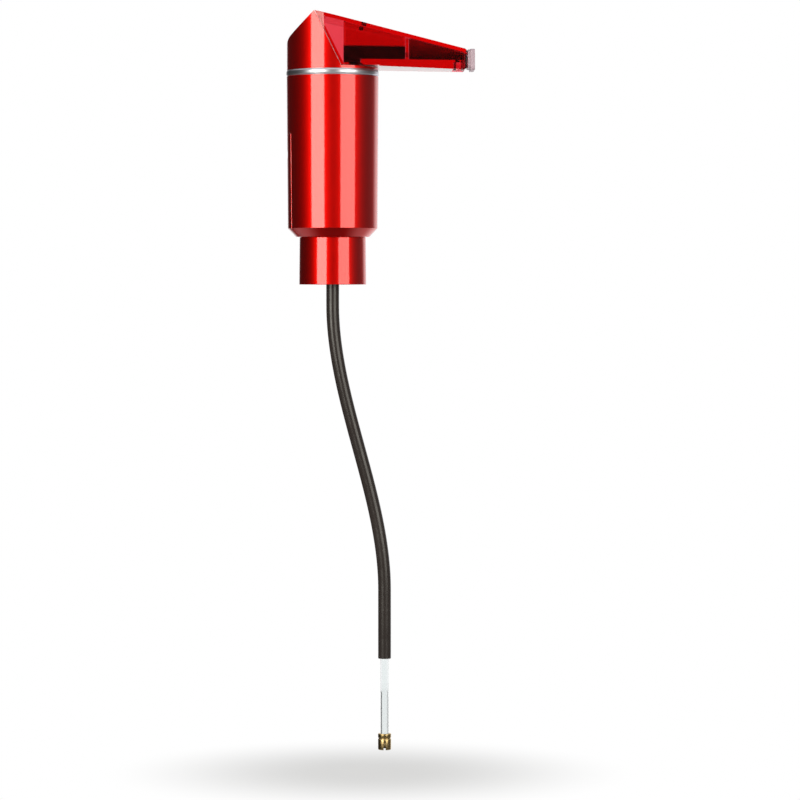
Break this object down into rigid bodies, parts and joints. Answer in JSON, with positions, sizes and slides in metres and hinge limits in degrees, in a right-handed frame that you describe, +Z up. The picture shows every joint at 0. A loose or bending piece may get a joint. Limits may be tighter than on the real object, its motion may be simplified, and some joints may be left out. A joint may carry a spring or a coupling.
{
  "type": "electric wine aerator",
  "caption": "Battery wine aerator that sits on a bottle's neck: upright housing with air pump, sloped head with a button, long clear spout with a nozzle, neck collar, stopper and dip tube.",
  "frame": {"origin": "centre of the bottle's mouth, on the plane where the bottle's lip meets the gasket", "axes": "+Z up along the bottle's neck and the housing, +X along the spout, +Y across"},
  "size_m": [0.1032, 0.0508, 0.4055],
  "materials": {
    "metal_red": "polished red metallic",
    "clear_red": "clear red, polished",
    "chrome": "mirror plated",
    "steel": "plain steel",
    "motor_can": "zinc plated can, weighed as a light metal because it is hollow",
    "black_plastic": "fine matte",
    "black_rubber": "soft matte",
    "smoked_plastic": "smoked, polished",
    "frosted_plastic": "frosted",
    "white_plastic": "plain moulded",
    "clear_tube": "clear tube",
    "board": "green circuit board",
    "cell_sleeve": "plain dark sleeve on a cell of about this density",
    "red_wire": "wire insulation",
    "brass": "turned"
  },
  "bodies": {
    "housing": {"body_shell": "metal_red", "neck_collar": "metal_red", "collar_screw_1": "steel", "collar_screw_2": "steel", "lip_gasket": "black_rubber", "stopper_plug": "black_rubber", "tube_stem": "white_plastic", "air_vent_tube": "brass", "dip_tube_outer": "black_plastic", "chrome_ring": "chrome", "head_shell": "metal_red", "button_bezel": "chrome", "switch_body": "black_plastic", "switch_board": "board", "board_screw_1": "steel", "board_screw_2": "steel", "battery_holder": "black_plastic", "battery_1": "cell_sleeve", "battery_2": "cell_sleeve", "battery_3": "cell_sleeve", "battery_4": "cell_sleeve", "contact_lower_back": "steel", "contact_lower_front": "steel", "contact_bridge": "steel", "contact_positive": "steel", "contact_negative": "steel", "fluid_manifold": "white_plastic", "wine_riser": "clear_tube", "air_hose_lower": "clear_tube", "air_hose_upper": "clear_tube", "air_check_valve": "white_plastic", "pump_tray": "black_plastic", "tray_screw_1": "steel", "tray_screw_2": "steel", "pump_motor": "motor_can", "pump_housing": "white_plastic", "pump_valve_cover": "white_plastic", "motor_lead_red": "red_wire", "motor_lead_black": "black_rubber", "battery_lead_red": "red_wire", "battery_lead_black": "black_rubber"},
    "spout": {"spout_shell": "clear_red", "spout_base": "clear_red", "inlet_seal": "black_rubber", "flow_channel_inlet": "smoked_plastic", "flow_channel_outlet": "smoked_plastic", "aeration_baffle": "clear_red", "air_inlet_grommet": "black_rubber", "nozzle": "clear_red", "spout_end_cap": "frosted_plastic"},
    "button": {"button_cap": "black_plastic", "switch_plunger": "white_plastic"},
    "rotor": {"motor_shaft": "steel", "pump_eccentric": "brass"},
    "pump_carriage": {"pump_yoke": "white_plastic", "pump_diaphragm": "black_rubber"},
    "door": {"battery_door": "metal_red"},
    "tube_extension": {"dip_tube_inner": "clear_tube", "tube_foot": "brass"}
  },
  "joints": [
    {"name": "button_press", "type": "slide", "parent": "housing", "child": "button", "axis": [0.7071, 0, -0.7071], "range_m": [0, 0.001], "stiffness_N_per_m": 1500},
    {"name": "battery_door_slide", "type": "slide", "parent": "housing", "child": "door", "axis": [0, 0, -1], "range_m": [0, 0.058]},
    {"name": "spout_release", "type": "slide", "parent": "housing", "child": "spout", "axis": [0, 0, 1], "range_m": [0, 0.005]},
    {"name": "dip_tube_extension", "type": "slide", "parent": "housing", "child": "tube_extension", "axis": [0, 0, -1], "range_m": [-0.012, 0.012]},
    {"name": "motor_spin", "type": "hinge", "parent": "housing", "child": "rotor", "pos_m": [-0.01055, 0, 0.0907], "axis": [0, 0, 1], "continuous": true},
    {"name": "pump_stroke", "type": "slide", "parent": "housing", "child": "pump_carriage", "axis": [1, 0, 0], "range_m": [-0.0006, 0.0006]}
  ]
}
